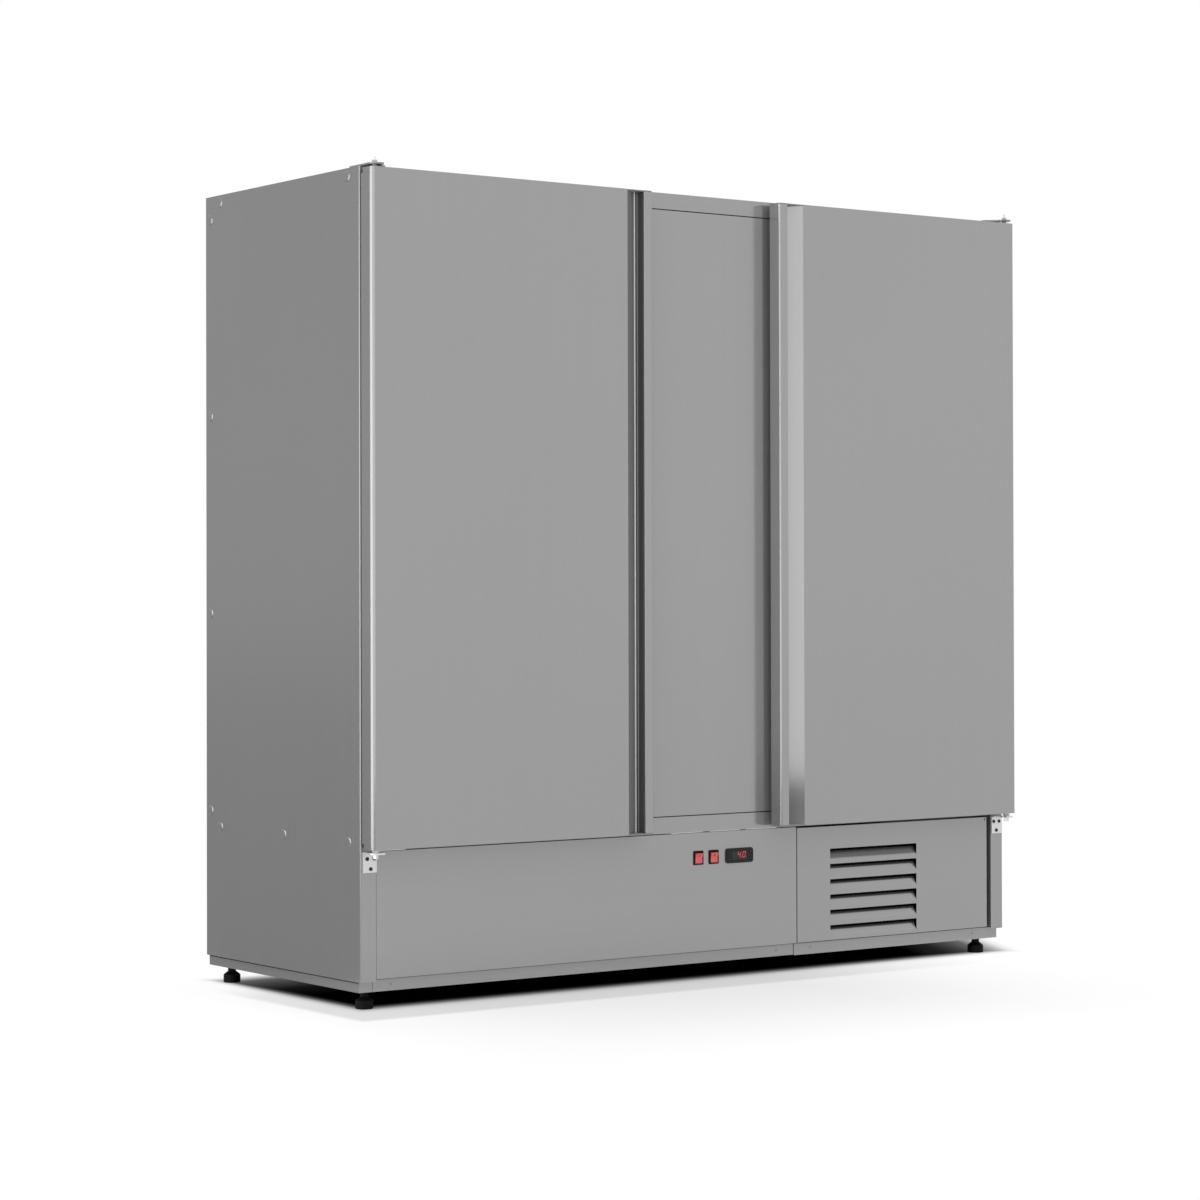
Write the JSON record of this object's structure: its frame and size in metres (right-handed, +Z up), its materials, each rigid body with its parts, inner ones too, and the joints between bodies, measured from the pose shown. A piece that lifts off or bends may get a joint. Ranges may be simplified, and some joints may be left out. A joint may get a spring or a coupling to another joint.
{
  "type": "commercial refrigerator",
  "caption": "Wide upright steel refrigerator with hinged doors beside a fixed centre panel, recessed full-height handles and a lower machine bay.",
  "frame": {"origin": "centre of the footprint, doors included, on the floor under the feet", "axes": "+X to the right seen from the front, +Y to the back, +Z up; the doors face -Y"},
  "size_m": [2.0036, 0.782, 1.963],
  "materials": {
    "outer_steel": "fine vertical grain, satin",
    "inner_steel": "satin, fine grain",
    "zinc_steel": "dull zinc coating",
    "black_coat": "satin black",
    "hinge_steel": "plain, lightly polished",
    "screw_steel": "bright",
    "foam": "closed cell foam",
    "gasket_grey": "matte",
    "white_plastic": "satin",
    "grey_plastic": "satin",
    "black_plastic": "satin",
    "rocker_red": "translucent red",
    "foot_black": "matte",
    "shelf_wire": "grey coating",
    "fin_aluminium": "plain",
    "copper": "dull copper",
    "lamp_cover": "frosted"
  },
  "bodies": {
    "cabinet": {"left_side_panel": "outer_steel", "right_side_panel": "outer_steel", "back_panel": "zinc_steel", "roof_pan": "outer_steel", "bottom_pan": "outer_steel", "foam_jacket": "foam", "inner_liner": "inner_steel", "center_panel": "outer_steel", "control_panel": "outer_steel", "front_plinth_left": "outer_steel", "front_plinth_right": "outer_steel", "base_rails": "zinc_steel", "machine_deck": "zinc_steel", "top_hinge_brackets": "hinge_steel", "bottom_hinge_brackets": "hinge_steel", "fixing_screws": "screw_steel", "side_caps": "outer_steel", "shelf_supports": "inner_steel", "left_shelves": "shelf_wire", "right_shelves": "shelf_wire", "evaporator_coil": "fin_aluminium", "evaporator_housing": "fin_aluminium", "compressor": "black_coat", "condenser_coil": "fin_aluminium", "condenser_shroud": "zinc_steel", "drain_tray": "black_plastic", "electrical_box": "grey_plastic", "controller_case": "black_plastic", "rocker_bezels": "black_plastic", "cable_gland": "black_plastic", "rear_grille": "zinc_steel", "interior_lamp": "lamp_cover", "breaker_frames": "grey_plastic", "refrigerant_pipes": "copper"},
    "left_door": {"left_door_skin": "outer_steel", "left_door_foam": "foam", "left_door_inner_panel": "inner_steel", "left_door_handle": "outer_steel", "left_door_gasket": "gasket_grey", "left_door_trim": "white_plastic"},
    "right_door": {"right_door_skin": "outer_steel", "right_door_foam": "foam", "right_door_inner_panel": "inner_steel", "right_door_handle": "outer_steel", "right_door_gasket": "gasket_grey", "right_door_trim": "white_plastic"},
    "foot_front_left": {"foot_front_left": "foot_black"},
    "foot_front_right": {"foot_front_right": "foot_black"},
    "foot_rear_left": {"foot_rear_left": "foot_black"},
    "foot_rear_right": {"foot_rear_right": "foot_black"},
    "evaporator_fan_left": {"evaporator_fan_left": "black_plastic"},
    "evaporator_fan_right": {"evaporator_fan_right": "black_plastic"},
    "condenser_fan": {"condenser_fan": "black_plastic"},
    "power_rocker": {"power_rocker": "rocker_red"},
    "light_rocker": {"light_rocker": "rocker_red"},
    "key_up": {"key_up": "black_plastic"},
    "key_down": {"key_down": "black_plastic"},
    "key_set": {"key_set": "black_plastic"},
    "key_defrost": {"key_defrost": "black_plastic"},
    "grille_panel": {"grille_panel": "outer_steel"}
  },
  "joints": [
    {"name": "left_door_hinge", "type": "hinge", "parent": "cabinet", "child": "left_door", "pos_m": [-0.981, -0.373, 1], "axis": [0, 0, 1], "range_deg": [-120, 0]},
    {"name": "right_door_hinge", "type": "hinge", "parent": "cabinet", "child": "right_door", "pos_m": [0.981, -0.373, 1], "axis": [0, 0, 1], "range_deg": [0, 120]},
    {"name": "foot_front_left_screw", "type": "slide", "parent": "cabinet", "child": "foot_front_left", "axis": [0, 0, -1], "range_m": [0, 0.012]},
    {"name": "foot_front_right_screw", "type": "slide", "parent": "cabinet", "child": "foot_front_right", "axis": [0, 0, -1], "range_m": [0, 0.012]},
    {"name": "foot_rear_left_screw", "type": "slide", "parent": "cabinet", "child": "foot_rear_left", "axis": [0, 0, -1], "range_m": [0, 0.012]},
    {"name": "foot_rear_right_screw", "type": "slide", "parent": "cabinet", "child": "foot_rear_right", "axis": [0, 0, -1], "range_m": [0, 0.012]},
    {"name": "evaporator_fan_left_spin", "type": "hinge", "parent": "cabinet", "child": "evaporator_fan_left", "pos_m": [-0.265, 0.065, 1.8], "axis": [0, 1, 0], "continuous": true},
    {"name": "evaporator_fan_right_spin", "type": "hinge", "parent": "cabinet", "child": "evaporator_fan_right", "pos_m": [0.265, 0.065, 1.8], "axis": [0, 1, 0], "continuous": true},
    {"name": "condenser_fan_spin", "type": "hinge", "parent": "cabinet", "child": "condenser_fan", "pos_m": [0.6, -0.21, 0.204], "axis": [0, 1, 0], "continuous": true},
    {"name": "power_rocker_tilt", "type": "hinge", "parent": "cabinet", "child": "power_rocker", "pos_m": [-0.0227, -0.3335, 0.305], "axis": [1, 0, 0], "range_deg": [-18, 0]},
    {"name": "light_rocker_tilt", "type": "hinge", "parent": "cabinet", "child": "light_rocker", "pos_m": [0.0252, -0.3335, 0.305], "axis": [1, 0, 0], "range_deg": [-18, 0]},
    {"name": "key_up_press", "type": "slide", "parent": "cabinet", "child": "key_up", "axis": [0, 1, 0], "range_m": [0, 0.0008], "stiffness_N_per_m": 1500, "springref_m": -0.0004},
    {"name": "key_down_press", "type": "slide", "parent": "cabinet", "child": "key_down", "axis": [0, 1, 0], "range_m": [0, 0.0008], "stiffness_N_per_m": 1500, "springref_m": -0.0004},
    {"name": "key_set_press", "type": "slide", "parent": "cabinet", "child": "key_set", "axis": [0, 1, 0], "range_m": [0, 0.0008], "stiffness_N_per_m": 1500, "springref_m": -0.0004},
    {"name": "key_defrost_press", "type": "slide", "parent": "cabinet", "child": "key_defrost", "axis": [0, 1, 0], "range_m": [0, 0.0008], "stiffness_N_per_m": 1500, "springref_m": -0.0004},
    {"name": "grille_panel_lift", "type": "slide", "parent": "cabinet", "child": "grille_panel", "axis": [0, 0, 1], "range_m": [0, 0.004]}
  ]
}
